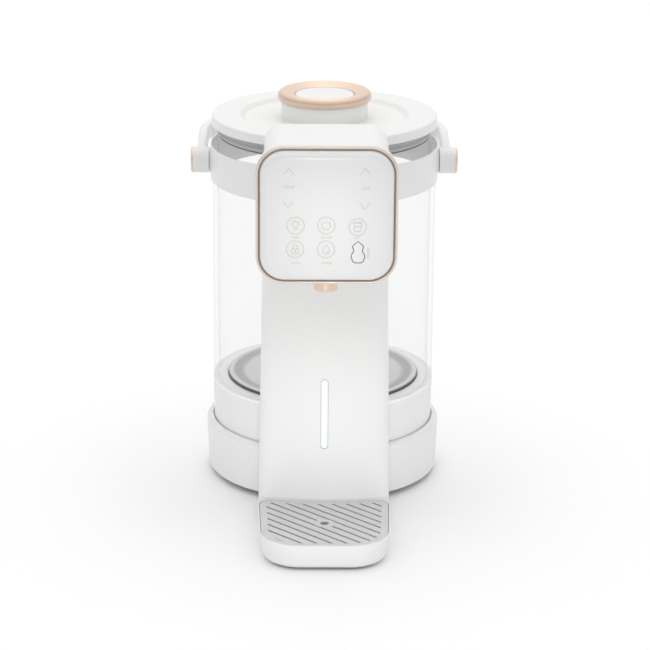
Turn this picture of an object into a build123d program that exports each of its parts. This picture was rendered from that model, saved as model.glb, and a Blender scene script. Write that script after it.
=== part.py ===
from build123d import *
from math import cos, radians, sin, sqrt
import os

# Baby formula water dispenser, in millimetres. A glass jug with a heated foot stands on a round base.
# A column in front of the jug carries the pump, the touch panel and the spout, and a drip tray slides
# off the foot of the column. +Z is up, -Y is the front, and the origin lies on the table under the
# middle of the whole outline. A "reach" is a distance in front of the upright axis of the jug.

os.makedirs("parts", exist_ok=True)

# Clearances shared by all pieces
fit_gap = 0.3  # between pieces that seat side by side
slide_gap = 0.4  # around pieces that lift or slide away
run_gap = 0.05  # radial play of a turning fit
overrun = 4.0  # how far a cut runs past the face that it opens

# Round base
foot_height = 4.2  # table to the bottom plate
foot_r = 7.0
foot_round = 1.0
plate_thick = 2.2
base_clear = 3.6  # table to the lower edge of the base wall
base_height = 32.4
base_rim = 4.0  # around the foot of the jug
base_taper = 1.3  # how much the base draws in towards its lower edge
base_wall = 2.5
base_shoulder = 3.6
base_sole_round = 1.2
seat_depth = 2.0  # the jug stands this far down in the base
deck_thick = 2.5
window_side = 12.8  # from the side of the column to the opening between base and column
window_height = 26.0  # above the lower edge of the base
boss_r = 3.6
boss_inset = 12.8  # from the side of the base to the middle of each boss
rear_boss_share = 0.623  # of the spread of the bosses, to each side
screw_r = 1.5
screw_head_r = 2.9
screw_head_thick = 1.6
screw_length = 11.0
rear_feet_inset = 23.3  # from the side of the base
rear_feet_deg = 33.7
front_feet_gap = 9.8  # in from the bosses of the column
front_feet_inset = 16.6  # behind the front of the column

# Foot of the jug and its glass
glass_r = 69.4
glass_wall = 3.0
glass_height = 162.9
glass_rim_round = 1.2
gasket_thick = 0.8
gasket_skirt = 0.9  # height of the gasket's inner lip
jug_foot_height = 26.7  # deck to the seat of the glass
jug_foot_taper = 0.4
jug_foot_round = 0.8
jug_foot_wall = 4.0
floor_rise = 1.9  # white rim inside the glass, above the seat of the glass
floor_lip = 2.0
cover_rise = 3.0  # jug bottom cover above the deck
cover_thick = 2.5
cover_ledge = 2.0

# Heating plate and its element
plate_rim = 6.4  # white rim between the glass and the plate
plate_sheet = 1.0
plate_rise = 2.2  # above the white rim
plate_crown = 3.0  # width of the flat ring at the edge of the plate
plate_slope = 8.0  # width of the ring that falls to the middle
plate_dish = 1.2
plate_round = 1.4
element_inset = 22.0  # from the edge of the plate
element_tube_r = 3.4
element_gap_deg = 96.0

# Electrical coupler under the jug
pillar_r = 14.5
pillar_rise = 11.0
pillar_flange = 5.0
pillar_depth = 10.0  # below the deck
contact_r = 3.0
contact_rise = 3.0
coupler_wall = 4.0
coupler_flange = 4.0
coupler_flange_thick = 2.0
coupler_roof = 2.5

# Outlet valve of the jug and its socket in the base
valve_gap = 0.6  # between the flanges of the coupler and the valve
valve_bore = 6.0
valve_wall = 1.6
valve_port_r = 3.6
valve_seat_thick = 3.5
bell_bore = 8.6
bell_wall = 1.9
bell_height = 6.5
bell_flange = 2.4
bell_flange_thick = 1.6
poppet_lift = 2.0  # held open by the base while the jug stands on it
poppet_head_r = 5.2
poppet_head_thick = 3.0
poppet_stem_r = 1.9
poppet_round = 0.8
cap_thick = 2.0
cap_hole_r = 1.0
cap_hole_spread = 3.4
cap_holes = 6
socket_wall = 2.0
socket_rise = 7.5
socket_flange = 3.2
socket_flange_thick = 2.5
socket_depth = 16.0  # floor of the socket below the deck
socket_floor = 2.0
socket_seal_thick = 1.6
socket_seal_w = 1.5
spider_thick = 2.0
pin_r = 1.6

# Water hoses and the barbs that they push onto
barb_r = 2.4
barb_bore = 1.6
barb_length = 9.0
hose_wall = 1.5
hose_bend = 18.0
hose_bend_share = 0.48  # most of a run that one bend may take
hose_grip = 8.0  # how far a hose goes over a barb

# Column and head
column_w = 79.6  # at the foot of the column
column_clear = 3.0
column_depth = 30.8  # from the base to the front of the column
column_bulge = 4.0
column_corner = 9.0
column_draft = 0.93  # degrees that the sides draw in
column_wall = 2.4
column_lap = 11.8  # how far the wings of the column go back beside the base
seam_depth = 12.2  # from the base to where the front and rear covers meet
jug_clear = 1.4  # from the collar to the hollow in the column
head_rise = 13.2  # above the rim of the lid
head_height = 72.2
head_nose = 11.9  # in front of the middle of the spout
head_shoulder = 10.5
head_rear_round = 26.0

# Touch panel
panel_side = 0.35  # beyond the side of the column
panel_height = 80.0
panel_corner = 16.3
panel_rise = 2.1  # above the head
panel_shell_depth = 7.0
panel_shell_wall = 2.35
panel_shell_round = 3.0
trim_w = 1.5
trim_depth = 3.0
trim_round_share = 0.4  # of the width of the trim
panel_groove = 0.5
panel_proud = 2.6  # the cover stands in front of the trim
panel_edge_round = 4.6
panel_skin = 2.2
board_thick = 1.6
wire_hole_w = 20.0
wire_hole_height = 8.0
display_w = 44.0
display_height = 16.0
display_thick = 2.6
display_round = 0.8
display_rise = 13.0  # above the middle of the panel

# Spout
spout_stand = 23.0  # from the front of the column to the middle of the spout
spout_r = 6.6
spout_wall = 2.1
spout_drop = 15.6  # below the head
spout_flange = 2.4
spout_flange_thick = 1.6
spout_roof = 2.0
spout_round = 0.8
tip_wall = 2.2
tip_length = 10.0
tip_recess = 0.8

# Night light in the column
light_w = 4.0
light_length = 43.5
light_height = 71.3  # table to the middle of the bar
light_flange = 1.8
light_flange_thick = 1.0
light_proud = 0.2
light_board_margin = 2.0

# Pump in the foot of the column
pump_height = 24.0
pump_r = 10.5
pump_head_length = 20.0
motor_gap = 1.0  # between the motor and the boss in the column
pump_round = 1.5
pump_neck_r = 4.2
pump_neck_length = 1.2
cradle_inset = 2.5  # from each end of the motor
cradle_w = 16.0

# Power board and cord gland
power_side = 3.4  # between the board and the bosses beside it
power_length = 34.0
power_inset = 37.8  # from the back of the base to the middle of the board
standoff_height = 3.0
standoff_r = 3.0
capacitor_r = 6.0
capacitor_height = 14.0
relay_size = (18.0, 12.0, 11.0)
coil_size = (16.0, 16.0, 13.0)
gland_r = 4.4
gland_bore = 3.1
gland_flange = 2.2
gland_flange_thick = 2.0
gland_length = 7.0
gland_rise = 10.0  # above the lower edge of the base

# Collar and bail handle
collar_height = 22.0
collar_thick = 0.8
collar_drop = 34.0  # rim of the glass to the lower edge of the collar
collar_round = 0.4
lug_r = 7.4
lug_proud = 0.4
trunnion_r = 3.5
trunnion_length = 8.2
hub_r = 8.1
hub_length = 9.6
hub_drop = 23.2  # rim of the glass to the middle of the hub
hub_round = 1.2
hub_trim_thick = 1.6
bail_w = 6.2
bail_depth = 11.0
bail_round = 2.4
bail_gap = 9.1  # between the collar and the cross bar
bail_bend = 38.0
bail_tilt = 5.0  # degrees above level when it lies back

# Lid
seal_flange_thick = 0.8
lid_overhang = 0.2  # beyond the glass
lid_rim_height = 5.8
lid_rim_round = 1.2
lid_wall = 2.4
lid_land = 17.6  # width of the flat ring around the dish
lid_slope = 3.0
lid_fall = 2.2  # rim down to the floor of the dish
liner_gap = 1.6  # inside the glass
liner_wall = 2.0
liner_depth = 6.6  # below the rim of the glass
liner_floor = 2.0
seal_lip = 0.9
seal_groove = 0.5
seal_drop = 4.6
knob_neck_r = 26.6
knob_neck_height = 10.4
knob_neck_wall = 2.4
knob_neck_round = 0.6
knob_boss_r = 5.0
knob_ring_r = 28.9
knob_ring_height = 6.5
knob_ring_foot = 1.4
knob_ring_fall = 2.5
knob_cap_r = 18.1
knob_cap_round = 0.5
knob_screw_r = 2.0
knob_screw_head_r = 4.0
knob_screw_head_thick = 2.0
knob_screw_length = 9.0

# Drip tray and grille
tray_side = 0.5  # beyond the side of the column
tray_length = 71.9
tray_taper = 2.7  # how much each side draws in towards the front
tray_draft = 9.0  # degrees that the walls lean in towards the sole
tray_clear = 1.4
tray_height = 15.2
tray_front_round = 24.0
tray_rear_round = 9.0
tray_sole_round = 3.5
tray_rim = 0.9
tray_ledge = 2.2
tray_floor = 2.0
tray_foot_r = 5.0
tray_foot_x = 26.0
tray_foot_inset = 18.5  # behind the front of the tray
tongue_w = 12.0
tongue_thick = 2.6
tongue_x = 24.0
tongue_rise = 7.6  # above the sole of the tray
tongue_length = 5.0
grille_thick = 2.2
grille_recess = 0.5
grille_border = 4.2
grille_slot_w = 1.5
grille_pitch = 6.2
grille_slots = 17
grille_angle = 45.0
grille_island_r = 6.0
grille_hole_r = 2.6

# Heights that follow from those sizes
plate_top = foot_height + plate_thick
base_top = base_clear + base_height
deck_top = base_top - seat_depth
deck_under = deck_top - deck_thick
glass_seat = deck_top + jug_foot_height
glass_bottom = glass_seat + gasket_thick
glass_top = glass_bottom + glass_height
jug_floor = glass_seat + floor_rise
flange_top = jug_floor - floor_lip
heater_top = jug_floor + plate_rise
heater_floor = heater_top - plate_dish
heater_under = heater_floor - plate_sheet
cover_bottom = deck_top + cover_rise
cover_top = cover_bottom + cover_thick
bell_roof = cover_bottom + bell_height
valve_seat = bell_roof + valve_seat_thick
collar_bottom = glass_top - collar_drop
hub_z = glass_top - hub_drop
lid_bottom = glass_top + seal_flange_thick
lid_top = lid_bottom + lid_rim_height
lid_dish = lid_top - lid_fall
lid_dish_under = lid_dish - lid_wall
knob_seat = lid_dish + knob_neck_height
head_top = lid_top + head_rise
head_bottom = head_top - head_height
panel_z = head_top + panel_rise - panel_height / 2
tray_top = tray_clear + tray_height
grille_top = tray_top - grille_recess

# Radii and places that follow from those sizes
base_r = glass_r + slide_gap + base_rim
column_reach = base_r + column_depth
column_back = base_r - column_lap
column_seam = base_r + seam_depth
spout_reach = column_reach + spout_stand
head_reach = spout_reach + head_nose
tray_reach = column_reach + tray_length
tray_w = column_w + 2 * tray_side
panel_w = column_w + 2 * panel_side
window_w = column_w - 2 * window_side
boss_spread = base_r - boss_inset
rear_boss_x = boss_spread * rear_boss_share
rear_feet_x = (base_r - rear_feet_inset) * cos(radians(rear_feet_deg))
rear_feet_back = (base_r - rear_feet_inset) * sin(radians(rear_feet_deg))
front_feet_reach = column_reach - front_feet_inset
power_w = 2 * (rear_boss_x - boss_r - power_side)
power_back = base_r - power_inset
pump_reach = (base_r + fit_gap + column_reach) / 2
column_boss_x = column_w / 2 - column_wall - boss_r
front_feet_x = column_boss_x - front_feet_gap
motor_end = column_boss_x - boss_r - motor_gap
pump_motor_length = motor_end - pump_neck_length - pump_head_length / 2
cradle_length = pump_motor_length - 2 * cradle_inset
coupler_bore = pillar_r + slide_gap + fit_gap
coupler_r = coupler_bore + coupler_wall
bell_flange_r = bell_bore + bell_wall + bell_flange
valve_reach = coupler_r + coupler_flange + valve_gap + bell_flange_r
glass_bore = glass_r - glass_wall
spigot_r = glass_bore - fit_gap
plate_r = glass_bore - plate_rim
element_r = plate_r - element_inset
heater_hole_r = plate_r + fit_gap
jug_foot_bore = glass_r - jug_foot_wall
heater_flange_r = jug_foot_bore - fit_gap
collar_r = glass_r + fit_gap + collar_thick
hub_start = collar_r + lug_proud + slide_gap
bail_arm_x = hub_start + hub_length / 2
bail_length = collar_r + bail_gap + bail_w / 2
lid_r = glass_r + lid_overhang
liner_r = glass_bore - liner_gap
socket_r = bell_bore - slide_gap
hose_bore = barb_r + run_gap
hose_r = hose_bore + hose_wall
column_front_r = (column_w**2 / 4 + column_bulge**2) / (2 * column_bulge)
panel_face_reach = head_reach + panel_shell_depth
trim_reach = panel_face_reach + trim_depth
handle_back = bail_length + bail_w / 2
jug_y = (tray_reach - handle_back) / 2

jug_axis = Axis((0, jug_y, 0), (0, 0, 1))
jug_section = Plane(origin=(0, jug_y, 0), x_dir=(1, 0, 0), z_dir=(0, -1, 0))


def level_plane(height, x=0, reach=0):
    """A level plane, its origin in front of the jug axis by reach."""
    return Plane(origin=(x, jug_y - reach, height))


def front_plane(reach, x=0, height=0):
    """A plane that faces the front, with X and Z as its sketch axes."""
    return Plane(origin=(x, jug_y - reach, height), x_dir=(1, 0, 0), z_dir=(0, -1, 0))


def side_plane(x, reach, height):
    """A plane that faces +X."""
    return Plane(origin=(x, jug_y - reach, height), x_dir=(0, 1, 0), z_dir=(1, 0, 0))


def save(builder, label):
    """Label a finished piece and write its file."""
    builder.part.label = label
    export_step(builder.part, f"parts/{label}.step")


def front_arc_reach(x, grow):
    """Reach of the bulged column front, moved out by grow, at a distance x from the middle."""
    return column_reach - column_front_r + sqrt((column_front_r + grow) ** 2 - x**2)


def tray_plan(inset, height):
    """Outline of the tray from above, all sides moved in by inset."""
    half = tray_w / 2 - inset
    rear_grow = slide_gap + inset
    side = -front_arc_reach(half, rear_grow)
    front = inset - tray_reach
    with BuildSketch(level_plane(height)) as plan:
        with BuildLine():
            ThreePointArc((-half, side), (0, -front_arc_reach(0, rear_grow)), (half, side))
            Polyline((half, side), (half - tray_taper, front), (tray_taper - half, front), (-half, side))
        make_face()
        fillet(plan.vertices().group_by(Axis.Y)[0], tray_front_round - inset)
        fillet(plan.vertices().group_by(Axis.Y)[-1], tray_rear_round - inset)
    return plan.sketch


def panel_outline(inset, reach):
    """Rounded square of the panel, moved in by inset, on a plane that faces the front."""
    with BuildSketch(front_plane(reach, height=panel_z)) as outline:
        RectangleRounded(panel_w - 2 * inset, panel_height - 2 * inset, panel_corner - inset)
    return outline.sketch


def window_outline():
    """Opening for the hose and wires that pass from the base into the column."""
    low = column_clear - overrun
    high = base_clear + window_height
    with BuildSketch(front_plane(base_r / 2, height=(low + high) / 2)) as outline:
        Rectangle(window_w, high - low)
    return outline.sketch


def column_form(grow):
    """Column and head as one solid, with all walls moved out by grow and the jug's hollow cut in."""
    half = column_w / 2 + grow
    top = head_top + grow
    back = column_back - grow
    wide = half + overrun
    side = -front_arc_reach(wide, grow)
    with BuildPart() as envelope:
        with BuildSketch(level_plane(column_clear)):
            with BuildLine():
                ThreePointArc((-wide, side), (0, -front_arc_reach(0, grow)), (wide, side))
                Polyline((wide, side), (wide, -back), (-wide, -back), (-wide, side))
            make_face()
        extrude(amount=top - column_clear)
        with BuildSketch(front_plane(back)):
            with BuildLine():
                Polyline(
                    (-wide, head_bottom - grow),
                    (wide, head_bottom - grow),
                    (wide, top),
                    (-wide, top),
                    close=True,
                )
            make_face()
        extrude(amount=head_reach + grow - back)
    with BuildPart() as form:
        with BuildSketch(level_plane(column_clear, reach=(head_reach + back) / 2)):
            Rectangle(2 * half, head_reach + 2 * overrun)
        extrude(amount=top - column_clear, taper=column_draft)
        add(envelope.part, mode=Mode.INTERSECT)
        upright = form.edges().filter_by(lambda edge: abs(edge.tangent_at(0.5).Z) > cos(radians(30)))
        fillet(
            upright.filter_by(
                lambda edge: edge.center().Z < head_bottom and edge.center().Y < jug_y - column_seam
            ),
            column_corner + grow,
        )
        rear_edge = form.edges().group_by(Axis.Z)[-1].filter_by(Axis.X).sort_by(Axis.Y)[-1]
        fillet(rear_edge, head_rear_round + grow)
        crest = form.edges().filter_by(lambda edge: edge.center().Z > head_top - head_rear_round)
        shoulders = crest.filter_by(lambda edge: abs(edge.tangent_at(0.5).X) < sin(radians(30)))
        fillet(
            shoulders.filter_by(lambda edge: edge.center().Y > jug_y - head_reach + overrun),
            head_shoulder + grow,
        )
        with BuildSketch(level_plane(column_clear)):
            Circle(base_r + fit_gap - grow)
        extrude(amount=base_top + fit_gap - grow - column_clear, mode=Mode.SUBTRACT)
        with BuildSketch(level_plane(column_clear)):
            Circle(collar_r + jug_clear - grow)
        extrude(amount=top - column_clear, mode=Mode.SUBTRACT)
    return form.part


# Rubber feet under the bottom plate
feet_places = [
    (-rear_feet_x, jug_y + rear_feet_back),
    (rear_feet_x, jug_y + rear_feet_back),
    (-front_feet_x, jug_y - front_feet_reach),
    (front_feet_x, jug_y - front_feet_reach),
]
with BuildPart() as rubber_feet:
    with BuildSketch():
        with Locations(*feet_places):
            Circle(foot_r)
    extrude(amount=foot_height)
    fillet(rubber_feet.edges().group_by(Axis.Z)[0], foot_round)
save(rubber_feet, "rubber_feet")

# Bosses under the deck and in the column, and the screws that go up into them
column_boss_reach = column_reach - column_bulge - column_wall - boss_r
rear_boss_back = sqrt(boss_spread**2 - rear_boss_x**2)
base_boss_places = [
    (-boss_spread, jug_y),
    (boss_spread, jug_y),
    (-rear_boss_x, jug_y + rear_boss_back),
    (rear_boss_x, jug_y + rear_boss_back),
]
column_boss_places = [(x, jug_y - column_boss_reach) for x in (-column_boss_x, column_boss_x)]
with BuildPart() as plate_screws:
    with BuildSketch(Plane.XY.offset(foot_height - screw_head_thick)):
        with Locations(*base_boss_places, *column_boss_places):
            Circle(screw_head_r)
    extrude(amount=screw_head_thick)
    with BuildSketch(Plane.XY.offset(foot_height)):
        with Locations(*base_boss_places, *column_boss_places):
            Circle(screw_r)
    extrude(amount=screw_length)
save(plate_screws, "plate_screws")

# Bottom plate: a disc under the base with a tongue under the column
plate_edge_r = base_r - base_taper - base_wall - fit_gap
plate_grow = -column_wall - fit_gap
plate_half = column_w / 2 + plate_grow
plate_side = -front_arc_reach(plate_half, plate_grow)
plate_rear = -base_r - base_wall - 2 * fit_gap
tongue_half = window_w / 2 - fit_gap
standoff_places = [
    (x, jug_y + y)
    for x in (-power_w / 2 + standoff_r, power_w / 2 - standoff_r)
    for y in (power_back - power_length / 2 + standoff_r, power_back + power_length / 2 - standoff_r)
]
with BuildPart() as bottom_plate:
    with BuildSketch(level_plane(foot_height)) as plate_outline:
        Circle(plate_edge_r)
        with Locations((0, plate_rear / 2)):
            Rectangle(2 * tongue_half, -plate_rear)
        with BuildLine():
            ThreePointArc(
                (-plate_half, plate_side),
                (0, -front_arc_reach(0, plate_grow)),
                (plate_half, plate_side),
            )
            Polyline(
                (plate_half, plate_side),
                (plate_half, plate_rear),
                (-plate_half, plate_rear),
                (-plate_half, plate_side),
            )
        make_face()
        front_corners = plate_outline.vertices().filter_by(lambda vertex: vertex.Y < plate_rear - overrun)
        fillet(front_corners, column_corner + plate_grow)
    extrude(amount=plate_thick)
    with BuildSketch(Plane.XY.offset(plate_top)):
        with Locations(*standoff_places):
            Circle(standoff_r)
    extrude(amount=standoff_height)
    with BuildSketch(Plane.XY.offset(foot_height)):
        with Locations(*base_boss_places, *column_boss_places):
            Circle(screw_r + fit_gap)
    extrude(amount=plate_thick, mode=Mode.SUBTRACT)
save(bottom_plate, "bottom_plate")

# Base shell: a round wall with a deck that the jug stands on
seat_r = glass_r + slide_gap
base_edge_r = base_r - base_taper
with BuildPart() as base_shell:
    with BuildSketch(jug_section):
        with BuildLine():
            Polyline(
                (0, deck_under),
                (base_r - base_wall, deck_under),
                (base_edge_r - base_wall, base_clear),
                (base_edge_r, base_clear),
                (base_r, base_top),
                (seat_r, base_top),
                (seat_r, deck_top),
                (0, deck_top),
                close=True,
            )
        make_face()
    revolve(axis=jug_axis)
    rim_edges = base_shell.edges().filter_by(GeomType.CIRCLE).sort_by(SortBy.RADIUS)
    fillet(rim_edges[-1], base_shoulder)
    sole_edges = base_shell.edges().group_by(Axis.Z)[0].sort_by(SortBy.RADIUS)
    fillet(sole_edges[-1], base_sole_round)
    with BuildSketch(Plane.XY.offset(plate_top)):
        with Locations(*base_boss_places):
            Circle(boss_r)
    extrude(amount=deck_under - plate_top)
    with BuildSketch(Plane.XY.offset(plate_top)):
        with Locations(*base_boss_places):
            Circle(screw_r + run_gap)
    extrude(amount=screw_length, mode=Mode.SUBTRACT)
    with BuildSketch(level_plane(deck_under)):
        Circle(pillar_r + fit_gap)
        with Locations((0, -valve_reach)):
            Circle(socket_r + fit_gap)
    extrude(amount=deck_thick, mode=Mode.SUBTRACT)
    extrude(window_outline(), amount=base_r, mode=Mode.SUBTRACT)
    with BuildSketch(front_plane(-base_r - overrun, height=base_clear + gland_rise)):
        Circle(gland_r + fit_gap)
    extrude(amount=base_wall + base_taper + 2 * overrun, mode=Mode.SUBTRACT)
save(base_shell, "base_shell")

# Gland where the lead would come in, at the back of the base
gland_top = gland_rise + gland_r + gland_flange
gland_seat = base_r - base_taper * (1 - gland_top / base_height)
with BuildPart() as cord_gland:
    with BuildSketch(front_plane(-gland_seat - gland_flange_thick, height=base_clear + gland_rise)):
        Circle(gland_r + gland_flange)
    extrude(amount=gland_flange_thick)
    fillet(cord_gland.edges().group_by(Axis.Y)[-1], gland_flange_thick / 2)
    with BuildSketch(front_plane(-gland_seat, height=base_clear + gland_rise)):
        Circle(gland_r)
    extrude(amount=gland_length)
    with BuildSketch(front_plane(-gland_seat - gland_flange_thick, height=base_clear + gland_rise)):
        Circle(gland_bore)
    extrude(amount=gland_flange_thick + gland_length, mode=Mode.SUBTRACT)
save(cord_gland, "cord_gland")

# Power board on its standoffs
board_bottom = plate_top + standoff_height
with BuildPart() as power_board:
    with BuildSketch(level_plane(board_bottom, reach=-power_back)):
        Rectangle(power_w, power_length)
    extrude(amount=board_thick)
    with Locations((-power_w / 4, jug_y + power_back, board_bottom + board_thick)):
        Box(*relay_size, align=(Align.CENTER, Align.CENTER, Align.MIN))
    with Locations((power_w / 4, jug_y + power_back, board_bottom + board_thick)):
        Box(*coil_size, align=(Align.CENTER, Align.CENTER, Align.MIN))
    with Locations((0, jug_y + power_back, board_bottom + board_thick)):
        Cylinder(capacitor_r, capacitor_height, align=(Align.CENTER, Align.CENTER, Align.MIN))
save(power_board, "power_board")

# Coupler pillar in the middle of the deck
with BuildPart() as base_coupler:
    with BuildSketch(level_plane(deck_under - pillar_depth)):
        Circle(pillar_r)
    extrude(amount=pillar_depth + deck_thick + pillar_rise)
    fillet(base_coupler.edges().group_by(Axis.Z)[-1], contact_r / 2)
    with BuildSketch(level_plane(deck_under - socket_flange_thick)):
        Circle(pillar_r + pillar_flange)
    extrude(amount=socket_flange_thick)
    with BuildSketch(level_plane(deck_top + pillar_rise)):
        Circle(contact_r)
    extrude(amount=contact_rise)
    with BuildSketch(level_plane(deck_top + pillar_rise)):
        Circle(pillar_r - contact_r)
        Circle(contact_r + contact_rise, mode=Mode.SUBTRACT)
    extrude(amount=-pillar_rise, mode=Mode.SUBTRACT)
save(base_coupler, "base_coupler")

# Water socket in the deck: a tube with a pin that lifts the valve of the jug
socket_top = deck_top + socket_rise
socket_bottom = deck_under - socket_depth
barb_z = socket_bottom + socket_floor + barb_r
pin_top = bell_roof - poppet_lift / 4
with BuildPart() as inlet_socket:
    with BuildSketch(level_plane(socket_bottom, reach=valve_reach)):
        Circle(socket_r)
    extrude(amount=socket_top - socket_bottom)
    with BuildSketch(level_plane(deck_under - socket_flange_thick, reach=valve_reach)):
        Circle(socket_r + socket_flange)
    extrude(amount=socket_flange_thick)
    with BuildSketch(level_plane(socket_bottom + socket_floor, reach=valve_reach)):
        Circle(socket_r - socket_wall)
    extrude(amount=socket_top - socket_bottom - socket_floor, mode=Mode.SUBTRACT)
    with BuildSketch(level_plane(deck_under, reach=valve_reach)):
        Rectangle(2 * socket_r - socket_wall, spider_thick)
        Rectangle(spider_thick, 2 * socket_r - socket_wall)
    extrude(amount=spider_thick)
    with BuildSketch(level_plane(deck_under, reach=valve_reach)):
        Circle(pin_r)
    extrude(amount=pin_top - deck_under)
    with BuildSketch(front_plane(valve_reach + socket_r - socket_wall / 2, height=barb_z)):
        Circle(barb_r)
    extrude(amount=socket_wall / 2 + barb_length)
    with BuildSketch(front_plane(valve_reach, height=barb_z)):
        Circle(barb_bore)
    extrude(amount=socket_r + barb_length, mode=Mode.SUBTRACT)
save(inlet_socket, "inlet_socket")

with BuildPart() as socket_seal:
    with BuildSketch(level_plane(socket_top, reach=valve_reach)):
        Circle(socket_r - fit_gap)
        Circle(socket_r - fit_gap - socket_seal_w, mode=Mode.SUBTRACT)
    extrude(amount=socket_seal_thick)
    fillet(socket_seal.edges().group_by(Axis.Z)[-1], socket_seal_w / 4)
save(socket_seal, "socket_seal")

# Pump on its cradle, with its motor beside it
with BuildPart() as pump_head:
    with BuildSketch(side_plane(-pump_head_length / 2, pump_reach, pump_height)):
        Circle(pump_r)
    extrude(amount=pump_head_length)
    fillet(pump_head.edges().filter_by(GeomType.CIRCLE), pump_round)
    with BuildSketch(front_plane(pump_reach, height=barb_z)):
        Circle(barb_r)
    extrude(amount=-pump_r - barb_length)
    with BuildSketch(level_plane(pump_height, reach=pump_reach)):
        Circle(barb_r)
    extrude(amount=pump_r + barb_length)
    with BuildSketch(front_plane(pump_reach, height=barb_z)):
        Circle(barb_bore)
    extrude(amount=-pump_r - barb_length, mode=Mode.SUBTRACT)
    with BuildSketch(level_plane(barb_z, reach=pump_reach)):
        Circle(barb_bore)
    extrude(amount=pump_height + pump_r + barb_length - barb_z, mode=Mode.SUBTRACT)
save(pump_head, "pump_head")

with BuildPart() as pump_motor:
    with BuildSketch(side_plane(pump_head_length / 2, pump_reach, pump_height)):
        Circle(pump_r)
    extrude(amount=pump_motor_length)
    fillet(pump_motor.edges().filter_by(GeomType.CIRCLE), pump_round)
    with BuildSketch(side_plane(pump_head_length / 2 + pump_motor_length, pump_reach, pump_height)):
        Circle(pump_neck_r)
    extrude(amount=pump_neck_length)
save(pump_motor, "pump_motor")

with BuildPart() as pump_cradle:
    with Locations((pump_head_length / 2 + pump_motor_length / 2, jug_y - pump_reach, plate_top)):
        Box(
            cradle_length,
            cradle_w,
            pump_height - plate_top - pump_r / 2,
            align=(Align.CENTER, Align.CENTER, Align.MIN),
        )
    with BuildSketch(side_plane(0, pump_reach, pump_height)):
        Circle(pump_r + run_gap)
    extrude(amount=pump_head_length + pump_motor_length, mode=Mode.SUBTRACT)
save(pump_cradle, "pump_cradle")

# Hose from the socket in the base to the pump
inlet_start = valve_reach + socket_r + barb_length - hose_grip
inlet_end = pump_reach - pump_r - barb_length + hose_grip
with BuildPart() as inlet_hose:
    with BuildSketch(front_plane(inlet_start, height=barb_z)):
        Circle(hose_r)
        Circle(hose_bore, mode=Mode.SUBTRACT)
    extrude(amount=inlet_end - inlet_start)
save(inlet_hose, "inlet_hose")

# Hose from the pump up the column, over the top and down to the spout
spout_top = head_bottom + column_wall + spout_flange_thick
outlet_start = pump_height + pump_r + barb_length - hose_grip
outlet_end = spout_top + barb_length - hose_grip
outlet_crest = head_top - column_wall - head_shoulder - hose_r
outlet_bend = min(hose_bend, hose_bend_share * (spout_reach - pump_reach))
with BuildPart() as outlet_hose:
    with BuildLine() as outlet_route:
        FilletPolyline(
            (0, jug_y - pump_reach, outlet_start),
            (0, jug_y - pump_reach, outlet_crest),
            (0, jug_y - spout_reach, outlet_crest),
            (0, jug_y - spout_reach, outlet_end),
            radius=outlet_bend,
        )
    with BuildSketch(level_plane(outlet_start, reach=pump_reach)):
        Circle(hose_r)
        Circle(hose_bore, mode=Mode.SUBTRACT)
    sweep(path=outlet_route.wires()[0])
save(outlet_hose, "outlet_hose")

# Column covers: one thin shell, parted at the seam
outer_form = column_form(0)
inner_form = column_form(-column_wall)
seam_plane = front_plane(column_seam)
light_slot_w = light_w + 2 * fit_gap
light_slot_length = light_length + 2 * fit_gap
tongue_z = tray_clear + tongue_rise
with BuildPart() as column_front:
    add(outer_form)
    add(inner_form, mode=Mode.SUBTRACT)
    split(bisect_by=seam_plane, keep=Keep.TOP)
    with BuildSketch(level_plane(plate_top)):
        with Locations(*[(x, -column_boss_reach) for x in (-column_boss_x, column_boss_x)]):
            Circle(boss_r)
    extrude(amount=screw_length + boss_r)
    with BuildSketch(level_plane(plate_top)):
        with Locations(*[(x, -column_boss_reach) for x in (-column_boss_x, column_boss_x)]):
            Circle(screw_r + run_gap)
    extrude(amount=screw_length, mode=Mode.SUBTRACT)
    with BuildSketch(front_plane(column_reach - column_wall - overrun, height=light_height)):
        SlotOverall(light_slot_length, light_slot_w, rotation=90)
    extrude(amount=column_wall + 2 * overrun, mode=Mode.SUBTRACT)
    with BuildSketch(front_plane(column_reach - column_bulge - column_wall - overrun, height=tongue_z)):
        with Locations((-tongue_x, 0), (tongue_x, 0)):
            Rectangle(tongue_w + 2 * slide_gap, tongue_thick + 2 * slide_gap)
    extrude(amount=column_wall + column_bulge + 2 * overrun, mode=Mode.SUBTRACT)
    with BuildSketch(level_plane(head_bottom - overrun, reach=spout_reach)):
        Circle(spout_r + fit_gap)
    extrude(amount=column_wall + 2 * overrun, mode=Mode.SUBTRACT)
    with BuildSketch(front_plane(head_reach - column_wall - overrun, height=panel_z)):
        Rectangle(wire_hole_w, wire_hole_height)
    extrude(amount=column_wall + 2 * overrun, mode=Mode.SUBTRACT)
save(column_front, "column_front")

with BuildPart() as column_rear:
    add(outer_form)
    add(inner_form, mode=Mode.SUBTRACT)
    split(bisect_by=seam_plane, keep=Keep.BOTTOM)
    extrude(window_outline(), amount=base_r, mode=Mode.SUBTRACT)
save(column_rear, "column_rear")

# Night light bar, flush in the column, and the board behind it
light_seat = column_reach - column_wall - light_proud
with BuildPart() as light_bar:
    with BuildSketch(front_plane(light_seat - light_flange_thick, height=light_height)):
        SlotOverall(light_length + 2 * light_flange, light_w + 2 * light_flange, rotation=90)
    extrude(amount=light_flange_thick)
    with BuildSketch(front_plane(light_seat, height=light_height)):
        SlotOverall(light_length, light_w, rotation=90)
    extrude(amount=column_reach - light_seat)
    fillet(light_bar.edges().group_by(Axis.Y)[0], light_proud)
save(light_bar, "light_bar")

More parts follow.
